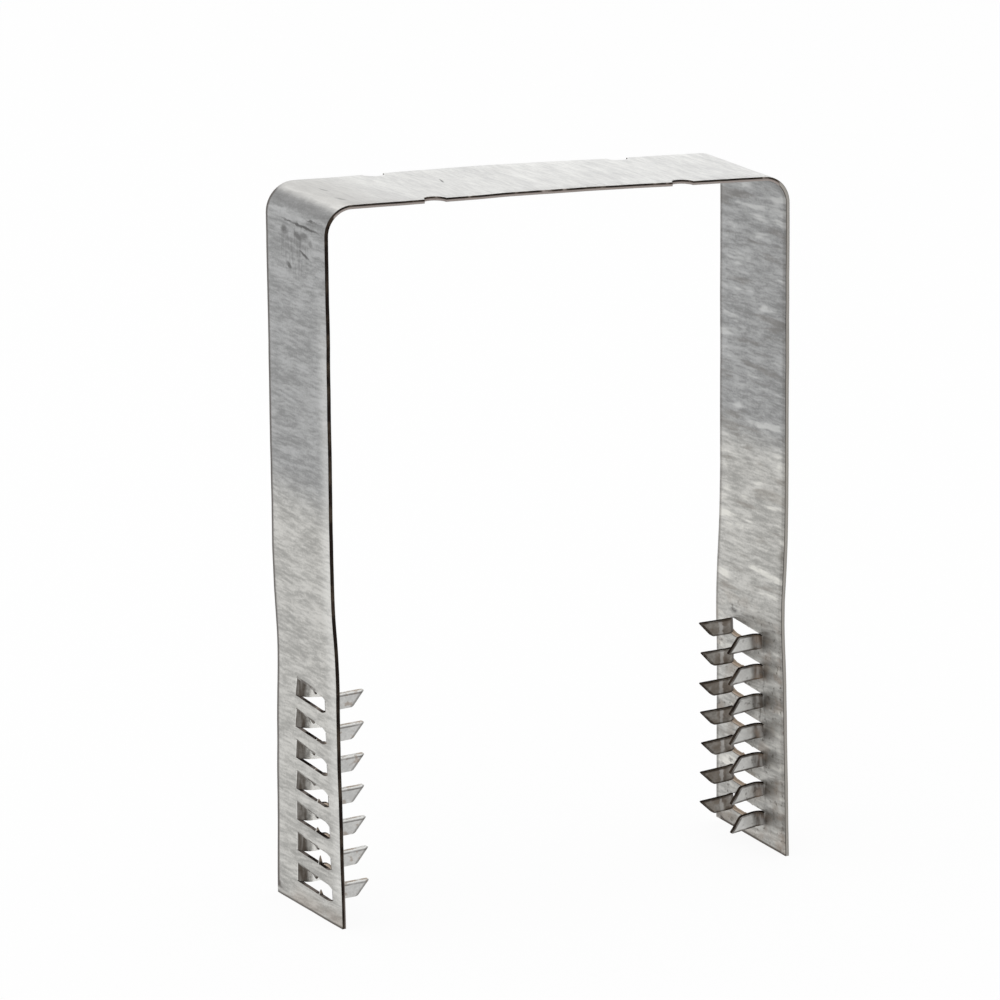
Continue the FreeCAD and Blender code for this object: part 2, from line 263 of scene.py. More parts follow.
class Strap:
    """Places on the strap's middle surface, worked out from its sizes."""

    def __init__(self, sizes):
        self.sizes = sizes
        self.half_sheet = sizes.sheet / 2
        self.leg_x = sizes.span / 2 - self.half_sheet
        self.fold_mid = sizes.fold_radius + self.half_sheet
        self.fold_x = self.leg_x - self.fold_mid
        self.slope = math.atan2(sizes.bridge_fall, 2 * self.fold_x)
        self.bridge_length = 2 * self.fold_x / math.cos(self.slope)
        self.root_mid = sizes.root_radius + self.half_sheet
        high = sizes.height - sizes.fold_radius - sizes.sheet
        self.fold_z = {LEFT: high, RIGHT: high - sizes.bridge_fall}
        self.row_z = [sizes.lowest_row + sizes.row_pitch * row for row in range(sizes.rows)]

    def bend_y(self, side, end):
        """Where a leg's slots end and their teeth begin."""
        shift = self.sizes.left_shift if side == LEFT else self.sizes.right_shift
        return end * self.sizes.slot_length / 2 - shift

    def slot_z(self, row, edge):
        """Height of a slot's lower or upper edge."""
        return self.row_z[row] + edge * self.sizes.slot_height / 2

    def slot_ease(self, side, edge, y):
        """How far a slot's edge is off its straight line: eased into the bends, flared on the left."""
        eased = 0.0
        for end in (FRONT, BACK):
            inside = (self.bend_y(side, end) - y) * end
            if inside < -CLOSE:
                return 0.0
            if (side, end, edge) == (LEFT, BACK, UPPER):
                eased += self.sizes.flare_rise * max(0.0, 1 - inside / self.sizes.flare_reach)
            elif (side, end) != (LEFT, BACK) and (side, end, edge) != (RIGHT, FRONT, UPPER):
                near = max(0.0, 1 - inside / self.sizes.corner_reach)
                eased -= edge * self.sizes.corner_drop * near ** 1.5
        return eased

    def cut_y(self, side, edge):
        """Where the slanted cut between two teeth met the slot's lower or upper edge."""
        middle = (self.bend_y(side, FRONT) + self.bend_y(side, BACK)) / 2
        return middle - side * edge * self.sizes.tip_slant / 2


def divided(places, step):
    """The places in order, with the spans between them divided into steps of that length at most."""
    places = sorted(places)
    lines = [places[0]]
    for start, end in zip(places, places[1:]):
        count = max(1, math.ceil((end - start) / step - CLOSE))
        lines += [start + (end - start) * part / count for part in range(1, count + 1)]
    return lines


def choose(strap, kind, wanted):
    """Selects the vertices, edges or faces of the open mesh that pass a test, and no others."""
    bpy.ops.mesh.select_mode(type=kind)
    bpy.ops.mesh.select_all(action="DESELECT")
    mesh = bmesh.from_edit_mesh(strap.data)
    items = {"VERT": mesh.verts, "EDGE": mesh.edges, "FACE": mesh.faces}[kind]
    found = [item for item in items if wanted(item)]
    if not found:
        raise RuntimeError(f"no {kind.lower()} of {strap.name} passes the test")
    for item in found:
        item.select_set(True)
    mesh.select_flush_mode()
    bmesh.update_edit_mesh(strap.data)


def ends_pass(test):
    """A test of an edge that both its ends pass."""
    return lambda edge: all(test(vert.co) for vert in edge.verts)


def at(test):
    """A test of a vertex by its place."""
    return lambda vert: test(vert.co)


def move(offset, **settings):
    """Moves what is selected."""
    bpy.ops.transform.translate(value=offset, **settings)


def turn(amount, axis, centre, **settings):
    """Turns what is selected, right-handed about an axis through the centre."""
    bpy.ops.transform.rotate(value=-amount, orient_axis=axis, center_override=centre, **settings)


def fading(reach, falloff="SMOOTH"):
    """Settings with which a move dies out around what is selected."""
    return {"use_proportional_edit": True, "proportional_edit_falloff": falloff, "proportional_size": reach}


def flat_bridge(plan):
    """The bridge's middle surface, flat at the origin, divided at the lines that later steps need."""
    sizes = plan.sizes
    bpy.ops.object.select_all(action="DESELECT")
    bpy.ops.mesh.primitive_plane_add(size=1)
    strap = bpy.context.object
    strap.name = "stud_tie_strap"
    strap.data.name = "stud_tie_strap"
    bpy.ops.object.mode_set(mode="EDIT")
    bpy.ops.transform.resize(value=(plan.bridge_length, sizes.width, 1), center_override=(0, 0, 0))
    margin = sizes.width / 2 - EDGE_MARGIN
    across = [
        plan.bend_y(side, end) - end * sizes.corner_reach * share
        for side in (LEFT, RIGHT) for end in (FRONT, BACK) for share in (0, 0.3, 0.6, 1)
    ]
    across = divided([-margin, margin, *across], ACROSS_STEP)
    along = [notch_line(plan, side, step) for side in (LEFT, RIGHT) for step in range(NOTCH_STEPS + 1)]
    along = divided([-plan.bridge_length / 2, plan.bridge_length / 2, *along], BRIDGE_STEP)[1:-1]
    for y in across:
        bpy.ops.mesh.select_all(action="SELECT")
        bpy.ops.mesh.bisect(plane_co=(0, y, 0), plane_no=(0, 1, 0), threshold=CLOSE)
    for x in along:
        bpy.ops.mesh.select_all(action="SELECT")
        bpy.ops.mesh.bisect(plane_co=(x, 0, 0), plane_no=(1, 0, 0), threshold=CLOSE)
    return strap


def notch_line(plan, side, step):
    """Place along the bridge of one of the lines that shape a notch."""
    turned = math.pi * step / NOTCH_STEPS
    return side * plan.sizes.notch_spacing / 2 - plan.sizes.notch_radius * math.cos(turned)


def edge_notches(strap, plan, wear):
    """Half-round notches, two in each long edge of the bridge, off even as the punch left them."""
    sizes = plan.sizes
    shifts = {FRONT: wear.front_notch_shift, BACK: wear.back_notch_shift}
    for side in (LEFT, RIGHT):
        for step in range(1, NOTCH_STEPS):
            x = notch_line(plan, side, step)
            depth = sizes.notch_radius * math.sin(math.pi * step / NOTCH_STEPS)
            for end in (FRONT, BACK):
                edge_y = end * sizes.width / 2
                choose(strap, "VERT", at(lambda co: abs(co.x - x) < CLOSE and abs(co.y - edge_y) < CLOSE))
                move((0, -end * depth, 0))
        for end, shift in shifts.items():
            middle = Vector((side * sizes.notch_spacing / 2, end * sizes.width / 2, 0))
            choose(strap, "VERT", at(lambda co: (co - middle).length < sizes.notch_radius + CLOSE))
            move((-shift, 0, 0), **fading(NOTCH_REACH))


def place_bridge(strap, plan):
    """Slopes the bridge and lifts it to its height over the folds."""
    bpy.ops.mesh.select_all(action="SELECT")
    turn(plan.slope, "Y", (0, 0, 0))
    middle = (plan.fold_z[LEFT] + plan.fold_z[RIGHT]) / 2
    move((plan.fold_mid * math.sin(plan.slope), 0, middle + plan.fold_mid * math.cos(plan.slope)))


def fold_and_leg(strap, plan, side):
    """Spins one end of the bridge round its fold and draws the leg down from it."""
    sizes = plan.sizes
    centre = Vector((side * plan.fold_x, 0, plan.fold_z[side]))
    start = centre + plan.fold_mid * Vector((math.sin(plan.slope), 0, math.cos(plan.slope)))
    choose(strap, "EDGE", ends_pass(
        lambda co: abs(co.x - start.x) < CLOSE and abs(co.z - start.z) < 10 * CLOSE
    ))
    quarter = side * (math.pi / 2) - plan.slope
    bpy.ops.mesh.spin(steps=FOLD_STEPS, angle=-quarter, center=centre, axis=(0, 1, 0))
    slot_edges = [plan.slot_z(row, edge) for row in range(sizes.rows) for edge in (LOWER, UPPER)]
    levels = divided([0.0, *slot_edges], ROW_STEP)
    levels += divided([levels[-1], plan.fold_z[side]], LEG_STEP)[1:]
    levels.reverse()
    for above, below in zip(levels, levels[1:]):
        bpy.ops.mesh.extrude_region_move(TRANSFORM_OT_translate={"value": (0, 0, below - above)})


def cut_slots(strap, plan, side):
    """Takes out the part of the sheet that each pair of teeth was cut from."""
    def in_slot(face):
        place = face.calc_center_median()
        if abs(place.x - side * plan.leg_x) > CLOSE:
            return False
        inside = plan.bend_y(side, FRONT) < place.y < plan.bend_y(side, BACK)
        return inside and any(abs(place.z - z) < plan.sizes.slot_height / 2 for z in plan.row_z)

    choose(strap, "FACE", in_slot)
    bpy.ops.mesh.delete(type="FACE")


def bend_teeth(strap, plan, wear, side, end):
    """Bends one line of teeth in from the ends of a leg's slots and slants their tips."""
    sizes = plan.sizes
    leg_x = side * plan.leg_x
    bend_y = plan.bend_y(side, end)

    def slot_end(edge):
        if any(abs(vert.co.x - leg_x) > CLOSE or abs(vert.co.y - bend_y) > CLOSE for vert in edge.verts):
            return False
        height = sum(vert.co.z for vert in edge.verts) / 2
        return any(abs(height - z) < sizes.slot_height / 2 for z in plan.row_z)

    choose(strap, "EDGE", slot_end)
    centre = (leg_x - side * plan.root_mid, bend_y, 0)
    bpy.ops.mesh.spin(steps=ROOT_STEPS, angle=side * end * math.pi / 2, center=centre, axis=(0, 0, 1))
    blade = sizes.tooth_reach - sizes.root_radius
    if (side, end) == (RIGHT, FRONT):
        blade -= wear.right_front_short
    bpy.ops.mesh.extrude_region_move(TRANSFORM_OT_translate={"value": (-side * blade, 0, 0)})
    tip_x = centre[0] - side * blade
    blade_y = bend_y - end * plan.root_mid
    tips = [vert.co.z for vert in bmesh.from_edit_mesh(strap.data).verts if vert.select]
    for height in {round(z - plan.row_z[0], 7) for z in tips}:
        if abs(height) > sizes.row_pitch / 2:
            continue
        levels = [z + height for z in plan.row_z]
        choose(strap, "VERT", at(
            lambda co: abs(co.x - tip_x) < CLOSE and abs(co.y - blade_y) < CLOSE
            and any(abs(co.z - level) < CLOSE for level in levels)
        ))
        share = height / sizes.slot_height
        move((-end * share * sizes.tip_slant, 0, 0))


def in_tooth(plan, side, end, row):
    """A test of a place: whether it is on that tooth, past its root."""
    middle = (plan.bend_y(side, FRONT) + plan.bend_y(side, BACK)) / 2

    def test(co):
        inward = side * plan.leg_x - co.x
        on_side = CLOSE < inward * side < TEETH_DEPTH and (co.y - middle) * end > 0
        return on_side and abs(co.z - plan.row_z[row]) < plan.sizes.row_pitch / 2

    return test


def by_row(shares, row):
    """A row's share, or the last one for rows above the list."""
    return shares[min(row, len(shares) - 1)]


def loosen_teeth(strap, plan, wear, chance):
    """Frees each tooth from its slot's edges and turns it a little off square, each its own way."""
    sizes = plan.sizes
    freed = 1 - 2 * sizes.shear_gap / sizes.slot_height
    for side in (LEFT, RIGHT):
        for end in (FRONT, BACK):
            for row in range(sizes.rows):
                root = (side * plan.leg_x, plan.bend_y(side, end), plan.row_z[row])
                choose(strap, "VERT", at(in_tooth(plan, side, end, row)))
                bpy.ops.transform.resize(value=(1, 1, freed), center_override=root)
                turn(chance.uniform(-1, 1) * wear.tooth_turn, "Z", root)
                low = 1 - row / (sizes.rows - 1)
                hang = {(LEFT, FRONT): -wear.left_front_rise,
                        (LEFT, BACK): wear.left_back_droop if low < 0.6 else 0.0,
                        (RIGHT, FRONT): wear.right_front_droop + low * wear.right_droop,
                        (RIGHT, BACK): low * wear.right_droop}[side, end]
                turn(chance.uniform(-1, 1) * wear.tooth_droop - side * hang, "Y", root)
                if (side, end) == (LEFT, FRONT):
                    move((0, end * (low * wear.slot_creep - wear.creep_back), 0), **fading(CREEP_REACH))
                    longer = by_row(LEFT_FRONT_LONGER, row) * wear.left_front_spread
                    tooth = in_tooth(plan, side, end, row)
                    choose(strap, "VERT", at(lambda co: tooth(co) and co.x > -plan.leg_x + BLADE_DEPTH))
                    move((longer, 0, 0))


def round_tips(strap, plan):
    """Rounds the two corners of each tooth's end."""
    inner = plan.leg_x - plan.root_mid - 1.0 * MM

    def corner(vert):
        low = vert.co.z < plan.row_z[-1] + ABOVE_ROWS
        return low and abs(vert.co.x) < inner and len(vert.link_edges) == 2

    choose(strap, "VERT", corner)
    bpy.ops.mesh.bevel(offset=plan.sizes.tip_round, segments=3, affect="VERTICES")


def ease_slot_ends(strap, plan):
    """Runs the slots' edges, and the teeth's with them, down into the bends' corners."""
    sizes = plan.sizes
    mesh = bmesh.from_edit_mesh(strap.data)
    for vert in mesh.verts:
        side = LEFT if vert.co.x < 0 else RIGHT
        inward = abs(vert.co.x - side * plan.leg_x)
        flared = side == LEFT and vert.co.y > plan.cut_y(LEFT, UPPER)
        if inward > (plan.root_mid + 0.1 * MM if flared else 0.9 * MM):
            continue
        gap, edge = min(
            (abs(vert.co.z - plan.slot_z(row, edge)), edge)
            for row in range(sizes.rows) for edge in (LOWER, UPPER)
        )
        if gap < CLOSE:
            root_y = plan.bend_y(LEFT, BACK) if flared and inward > CLOSE else vert.co.y
            vert.co.z += plan.slot_ease(side, edge, root_y)
    bmesh.update_edit_mesh(strap.data)


def raise_spurs(strap, plan, wear, chance):
    """Pulls up a small burr where each slanted cut met its slot's edges, tallest low on the left leg."""
    thinned = []
    for side in (LEFT, RIGHT):
        for row in range(plan.sizes.rows):
            for edge in (LOWER, UPPER):
                spur_y = plan.cut_y(side, edge) + chance.uniform(-0.8, 0.3) * MM
                slot_z = plan.slot_z(row, edge)
                height = wear.spur * chance.uniform(0.1, 0.3)
                half_width, taper = 0.3 * MM, 0.25
                if side == LEFT and edge == UPPER:
                    spur_y -= 1.6 * MM
                    height = 0.8 * height + 0.3 * wear.spur
                    half_width, taper = 0.6 * MM, 0.55
                if side == LEFT and edge == LOWER:
                    height = wear.spur * by_row(LEFT_BURRS, row)

                def crossed(edge_item):
                    if any(abs(v.co.z - slot_z) > CLOSE or abs(v.co.x - side * plan.leg_x) > CLOSE
                           for v in edge_item.verts):
                        return False
                    ends = sorted(v.co.y for v in edge_item.verts)
                    return ends[0] <= spur_y < ends[1]

                choose(strap, "EDGE", crossed)
                bpy.ops.mesh.subdivide(number_cuts=3, ngon=True)
                middle = [v.co.y for v in bmesh.from_edit_mesh(strap.data).verts if v.select]
                middle = sum(middle) / len(middle)
                choose(strap, "EDGE", ends_pass(
                    lambda co: abs(co.z - slot_z) < CLOSE and abs(co.y - middle) < half_width
                    and abs(co.x - side * plan.leg_x) < CLOSE
                ))
                bpy.ops.mesh.extrude_region_move(TRANSFORM_OT_translate={"value": (0, 0, -edge * height)})
                bpy.ops.transform.resize(
                    value=(1, taper, 1), center_override=(side * plan.leg_x, middle, slot_z - edge * height)
                )
                thinned.extend(tuple(v.co) for v in bmesh.from_edit_mesh(strap.data).verts if v.select)
    group = strap.vertex_groups.new(name="full_thickness")
    mesh = bmesh.from_edit_mesh(strap.data)
    weights = mesh.verts.layers.deform.verify()
    for vert in mesh.verts:
        vert[weights][group.index] = 0.0 if tuple(vert.co) in thinned else 1.0
    bmesh.update_edit_mesh(strap.data)


def mark_places(strap, plan, wear):
    """Writes on each point where on the strap it is, for the stains, rims, painted shade and painted
    highlights in its materials.
    """
    mesh = bmesh.from_edit_mesh(strap.data)
    layers = {name: mesh.verts.layers.float.new(name) for name in MARKS}
    weights = mesh.verts.layers.deform.active
    full = strap.vertex_groups["full_thickness"].index
    for vert in mesh.verts:
        for name, value in place_marks(plan, wear, vert.co).items():
            vert[layers[name]] = value
        if vert[weights][full] < 1:
            row_gap = min((vert.co.z - z for z in plan.row_z), key=abs)
            vert[layers["root_stain"]] = 2.0 if row_gap > 0 else 0.3
    bmesh.update_edit_mesh(strap.data)


def place_marks(plan, wear, co):
    """A place's marks by name: shares from 0 to 1, tooth_rise from -1 to 1, and gaps in millimetres."""
    sizes = plan.sizes
    side = LEFT if co.x < 0 else RIGHT
    inward = plan.leg_x - abs(co.x)
    marks = {"edge_gap": min(sizes.width / 2 - abs(co.y), co.z) / MM, "tip_gap": 9.0}
    if co.z > plan.row_z[-1] + ABOVE_ROWS:
        return marks
    row_z = min(plan.row_z, key=lambda z: abs(co.z - z))
    outs = {end: (co.y - plan.bend_y(side, end)) * end for end in (FRONT, BACK)}
    if inward > CLOSE:
        end = max(outs, key=outs.get)
        rise = (co.z - row_z) / (sizes.slot_height / 2)
        reach = sizes.tooth_reach + plan.half_sheet + side * end * rise * sizes.tip_slant / 2
        if (side, end) == (RIGHT, FRONT):
            reach -= wear.right_front_short
        stain = 1 - inward / (plan.root_mid + ROOT_SHADE_AND_STAIN_REACH)
        marks.update(tooth=1.0, root_stain=stain, edge_gap=9.0, tooth_rise=rise)
        marks["tip_gap"] = (reach - inward) / MM
    elif outs[FRONT] > -CLOSE:
        out = outs[FRONT]
        aside = min(abs(co.z - z - 0.35 * out - 0.2 * MM) for z in plan.row_z) / (1.3 * MM + 0.2 * out)
        marks["leg_shade"] = math.exp(-out / LEG_SHADE_REACH - aside ** 4)
    elif outs[BACK] < 0 and co.y > plan.cut_y(side, LOWER) - 0.5 * MM:
        slot_z = row_z - side * sizes.slot_height / 2 + plan.slot_ease(side, -side, co.y)
        marks["slot_lip"] = max(0.0, 1 - abs(co.z - slot_z) / LIP_STAIN)
    return marks


def skew_slots(strap, plan, wear):
    """Tilts the rows of slots in the legs' planes and slants the right foot, as the press left them."""
    low, high = FOOT_BAND, plan.row_z[-1]
    clear = high + PLAIN_BAND
    foot_skew = wear.foot_lift / (plan.sizes.width / 2)
    lifts = {
        LEFT: ((0, 0), (low, wear.left_lift), (high, wear.left_lift), (clear, 0)),
        RIGHT: ((0, wear.foot_lift), (low, 0.1 * MM), (high, -wear.right_sink), (clear, 0)),
    }
    skews = {
        LEFT: ((0, 0), (low, wear.left_skew), (high, wear.left_skew), (clear, 0)),
        RIGHT: ((0, foot_skew), (low, wear.right_skew), (high, wear.right_skew), (clear, 0)),
    }
    mesh = bmesh.from_edit_mesh(strap.data)
    for vert in mesh.verts:
        side = LEFT if vert.co.x < 0 else RIGHT
        if abs(vert.co.x) > plan.fold_x - 5 * MM and vert.co.z < clear:
            lift, skew = (between(places[side], vert.co.z) for places in (lifts, skews))
            vert.co.z += lift + skew * vert.co.y
    bmesh.update_edit_mesh(strap.data)


def between(places, value):
    """The height at a value of a line through the places."""
    for (start, first), (end, second) in zip(places, places[1:]):
        if value <= end:
            return first + (second - first) * max(0.0, value - start) / (end - start)
    return places[-1][1]


def lean_and_twist(strap, plan, wear):
    """Gives the legs the lean, pinch and twist, and the bridge the crown, of a handled strap."""
    twists = {LEFT: wear.left_twist, RIGHT: wear.right_twist}
    splays = {LEFT: 0.0, RIGHT: wear.right_splay}
    for side in (LEFT, RIGHT):
        def on_leg(co, low, high):
            return co.x * side > plan.fold_x / 2 and low - CLOSE <= co.z <= high + CLOSE

        choose(strap, "VERT", at(lambda co: on_leg(co, 0, wear.neck_height)))
        move((-side * wear.neck_lean, 0, 0), **fading(wear.neck_reach))
        choose(strap, "VERT", at(lambda co: on_leg(co, wear.neck_height, wear.neck_height + 4 * MM)))
        move((-side * wear.neck_pinch, 0, 0), **fading(wear.pinch_reach))
        choose(strap, "VERT", at(lambda co: on_leg(co, 0, 1.6 * MM) and abs(co.x) > plan.leg_x - 1 * MM))
        move((side * splays[side], 0, 0), **fading(wear.neck_height, "LINEAR"))
        foot = (side * (plan.leg_x - wear.neck_lean), 0, 0)
        turn(twists[side], "Z", foot, **fading(wear.twist_height, "LINEAR"))
    choose(strap, "VERT", at(lambda co: abs(co.x) < 2 * MM and co.z > plan.fold_z[RIGHT]))
    move((0, 0, wear.crown), **fading(wear.crown_reach))


def applied(strap, kind, **settings):
    """Adds a modifier to the strap and applies it."""
    modifier = strap.modifiers.new(kind.title(), kind)
    for name, value in settings.items():
        setattr(modifier, name, value)
    bpy.ops.object.modifier_apply(modifier=modifier.name)


def mark_sides(strap):
    """Writes on which side of the sheet each point is: 1 on the outer side, 0 on the inner one."""
    count = len(strap.data.vertices) // 2
    pairs = [(strap.data.vertices[i].co, strap.data.vertices[i + count].co) for i in range(count)]
    low, high = PLAIN_LEG
    first_outer = sum(abs(one.x) - abs(two.x) for one, two in pairs if low < one.z < high) > 0
    side = strap.data.attributes.new("outer_side", "FLOAT", "POINT")
    side.data.foreach_set("value", [float(first_outer)] * count + [float(not first_outer)] * count)


def weigh_edges(strap, plan):
    """Says which sheared edges are eased: the strap's own, not those of the slots and teeth."""
    mesh = bmesh.new()
    mesh.from_mesh(strap.data)
    weight = mesh.edges.layers.float.new("bevel_weight_edge")
    tooth = mesh.verts.layers.float["tooth"]
    for edge in mesh.edges:
        cut = sum(face.material_index for face in edge.link_faces)
        if cut != 1 or len(edge.link_faces) != 2:
            continue
        place = (edge.verts[0].co + edge.verts[1].co) / 2
        on_tooth = edge.verts[0][tooth] + edge.verts[1][tooth] > 0.5
        in_slot = abs(place.y) < plan.sizes.width / 2 - OWN_EDGE and place.z > FOOT_HEIGHT
        in_slot = in_slot and place.z < plan.row_z[-1] + ABOVE_ROWS
        edge[weight] = 0.0 if on_tooth or in_slot else 1.0
    mesh.to_mesh(strap.data)
    mesh.free()


def thicken(strap, plan, wear):
    """Waves the middle surface a little, gives it the sheet's thickness and eases its sheared edges."""
    waves = bpy.data.textures.new("sheet_waves", "CLOUDS")
    waves.noise_scale = wear.wave_size
    applied(strap, "DISPLACE", texture=waves, strength=wear.wave, texture_coords="LOCAL")
    applied(strap, "SOLIDIFY", thickness=plan.sizes.sheet, offset=0, use_even_offset=True,
            use_quality_normals=True, material_offset_rim=1, vertex_group="full_thickness",
            thickness_vertex_group=0.2)
    mark_sides(strap)
    weigh_edges(strap, plan)
    applied(strap, "BEVEL", width=plan.sizes.edge_roll, segments=2, limit_method="WEIGHT", material=0,
            use_clamp_overlap=False)
    bpy.ops.object.shade_smooth_by_angle(angle=math.radians(40))


class Value:
    """An output of a node, with the arithmetic that layers of paint need."""

    def __init__(self, paint, socket):
        self.paint = paint
        self.socket = socket

    def __mul__(self, other):
        return self.paint.math("MULTIPLY", self, other)

    def __add__(self, other):
        return self.paint.math("ADD", self, other)

    def __sub__(self, other):
        return self.paint.math("SUBTRACT", self, other)

    def __rsub__(self, other):
        return self.paint.math("SUBTRACT", other, self)

    def __or__(self, other):
        """The larger of the two."""
        return self.paint.math("MAXIMUM", self, other)

    def __abs__(self):
        return self.paint.math("ABSOLUTE", self, 0.0)

    def ramp(self, low, high, start=0.0, end=1.0):
        """The value stretched so that low becomes the start and high becomes the end, smoothly."""
        ends = {"From Min": low, "From Max": high, "To Min": start, "To Max": end}
        smooth = {"interpolation_type": "SMOOTHSTEP"}
        return self.paint.value("ShaderNodeMapRange", smooth, Value=self, **ends)

    def fade(self, low, high, start=1.0):
        """The start below low, falling to 0 at high."""
        return self.ramp(low, high, start, 0.0)


class Paint:
    """Nodes of a material or a world, and the colour laid on so far."""

    def __init__(self, tree):
        self.tree = tree
        self.colour = None

    def feed(self, socket, value):
        """Gives an input a plain value, or links it to the output that it comes from."""
        if isinstance(value, Value):
            self.tree.links.new(value.socket, socket)
        else:
            socket.default_value = value

    def value(self, kind, settings=None, output=0, **inputs):
        """An output of a new node with these settings and inputs, which go by name or as i0, i1."""
        made = self.tree.nodes.new(kind)
        for name, setting in (settings or {}).items():
            setattr(made, name, setting)
        for name, given in inputs.items():
            numbered = name[0] == "i" and name[1:].isdigit()
            self.feed(made.inputs[int(name[1:]) if numbered else name], given)
        return Value(self, made.outputs[output]) if made.outputs else None

    def math(self, operation, first, second):
        """One operation on two values."""
        return self.value("ShaderNodeMath", {"operation": operation}, i0=first, i1=second)

    def axes(self, place):
        """The three parts of a place."""
        first = self.value("ShaderNodeSeparateXYZ", Vector=place)
        return [Value(self, part) for part in first.socket.node.outputs]

    def noise(self, place, scale, detail=3.0):
        """Noise with its own scale along each axis, in patches per millimetre."""
        scaled = self.value("ShaderNodeMapping", Vector=place, Scale=[part / MM for part in scale])
        return self.value("ShaderNodeTexNoise", None, "Fac", Vector=scaled, Scale=1.0, Detail=detail)

    def smudge(self, place, centre, radii, turned=(0, 0, 0), solid=0.35):
        """1 in the solid share of an ellipsoid given in millimetres, fading to 0 at its surface."""
        local = self.value(
            "ShaderNodeMapping", {"vector_type": "TEXTURE"}, Vector=place, Rotation=turned,
            Location=[part * MM for part in centre], Scale=[part * MM for part in radii],
        )
        away = self.value("ShaderNodeVectorMath", {"operation": "LENGTH"}, "Value", i0=local)
        return away.fade(solid, 1.0)

    def mark(self, name):
        """A value written on the mesh."""
        return self.value("ShaderNodeAttribute", {"attribute_name": name}, "Fac")

    def mix(self, share, first, second, blend="MIX"):
        """From the first colour to the second, by a share."""
        first, second = (one if isinstance(one, Value) else (*one, 1.0) for one in (first, second))
        settings = {"data_type": "RGBA", "blend_type": blend}
        return self.value("ShaderNodeMix", settings, 2, i0=share, i6=first, i7=second)

    def lay(self, share, colour):
        """Lays a colour over what is there, by a share."""
        self.colour = self.mix(share, self.colour, colour)


def painted(name, layers):
    """A material whose shader takes what the layers, painted on its nodes, say for its inputs."""
    material = bpy.data.materials.new(name)
    material.use_nodes = True
    paint = Paint(material.node_tree)
    shader = material.node_tree.nodes["Principled BSDF"]
    for socket, value in layers(paint).items():
        paint.feed(shader.inputs[socket], value)
    return material


def sheet_patterns(paint):
    """The places and patterns that the sheet's layers share."""
    place = paint.value("ShaderNodeTexCoord", None, "Object")
    x, y, z = paint.axes(place)
    lift = paint.noise(place, (0.10, 0.14, 0.10), 2.0) * (0.9 * MM) + y * 0.06
    leaning = paint.value("ShaderNodeCombineXYZ", X=x + lift, Y=y, Z=z + lift)
    outer, right_half = paint.mark("outer_side"), x.ramp(-0.001, 0.001)
    return SimpleNamespace(
        place=place, x=x, y=y, z=z,
        broad=paint.noise(leaning, (0.30, 0.045, 0.30), 2.0),
        ridges=paint.noise(leaning, (0.55, 0.06, 0.55), 2.0),
        fine=paint.noise(leaning, (1.9, 0.24, 1.9), 3.0),
        mottle=paint.noise(place, (0.20, 0.13, 0.20), 3.0),
        blotch=paint.noise(place, (0.45, 0.45, 0.60), 4.0),
        tooth=paint.mark("tooth"), outer=outer, inner=1 - outer,
        on_right=right_half, on_left=1 - right_half, right_leg=x.ramp(0.040, 0.043),
        bridge_top=(z + x * 0.035).ramp(0.1290, 0.1306) * outer,
    )


def lay_zinc(paint, on, finish):
    """Pale and dark streaks, tinted by height on the legs, with a painted highlight on top of the bridge
    that gives way to painted shade towards the left fold.
    """
    grain = paint.noise(on.place, (3.0, 1.6, 3.0), 2.0)
    shares = ((on.broad, 0.16), (on.ridges, 0.20), (on.fine, 0.36), (on.mottle, 0.12), (grain, 0.16))
    tone = 0.0
    for pattern, weight in shares:
        tone = paint.value("ShaderNodeMath", {"operation": "MULTIPLY_ADD"}, i0=pattern, i1=weight, i2=tone)
    paint.colour = paint.mix(tone.ramp(0.39, 0.61), finish.zinc_deep, finish.zinc_pale)
    crest = on.right_leg * on.ridges.ramp(0.56, 0.68) * on.mottle.ramp(0.40, 0.52)
    paint.lay(crest * 0.55, finish.bright_zinc_and_highlight)
    trough = on.right_leg * on.ridges.fade(0.32, 0.44)
    paint.lay(trough * 0.31, finish.brown_grey)
    tint = paint.mix(on.z.ramp(0.072, 0.083), finish.lower_tint, finish.upper_tint)
    paint.colour = paint.mix(1.0, paint.colour, tint, "MULTIPLY")
    # Painted highlight: the top of the bridge is laid in brighter zinc, giving way to painted shade
    # (fold_shade) towards the left fold
    highlit_top_zinc = paint.mix(tone.ramp(0.3, 0.7), finish.zinc_pale, finish.bright_zinc_and_highlight)
    fold_shade = on.x.ramp(-0.041, -0.027, 0.55, 0.14) * on.x.fade(-0.030, 0.020)
    paint.lay(on.bridge_top, paint.mix(fold_shade, highlit_top_zinc, finish.fold_shade_zinc))


def lay_scuffs(paint, on, finish):
    """Ragged scuffs and nicks, and a rubbed patch under the left fold."""
    jolt = (paint.noise(on.place, (0.7, 0.5, 0.9)) - 0.5) * (1.1 * MM)
    ragged = paint.value("ShaderNodeCombineXYZ", X=on.x, Y=on.y + jolt, Z=on.z + jolt)
    for centre, radii, (about_x, about_z), depth in SCUFFS:
        turned = (math.radians(about_x), 0, math.radians(about_z))
        scuff = paint.smudge(ragged, centre, radii, turned, 0.3) * on.fine.ramp(0.30, 0.55, 0.35, 1.0)
        paint.lay(scuff * depth, finish.scuff)
    hatched = paint.noise(on.place, (1.0, 1.7, 0.22), 2.0).ramp(0.45, 0.62)
    rubbed = paint.smudge(ragged, (-46.3, 0.5, 122.5), (2.0, 8.5, 6.5))
    paint.lay(hatched * rubbed * 0.32, finish.scuff)


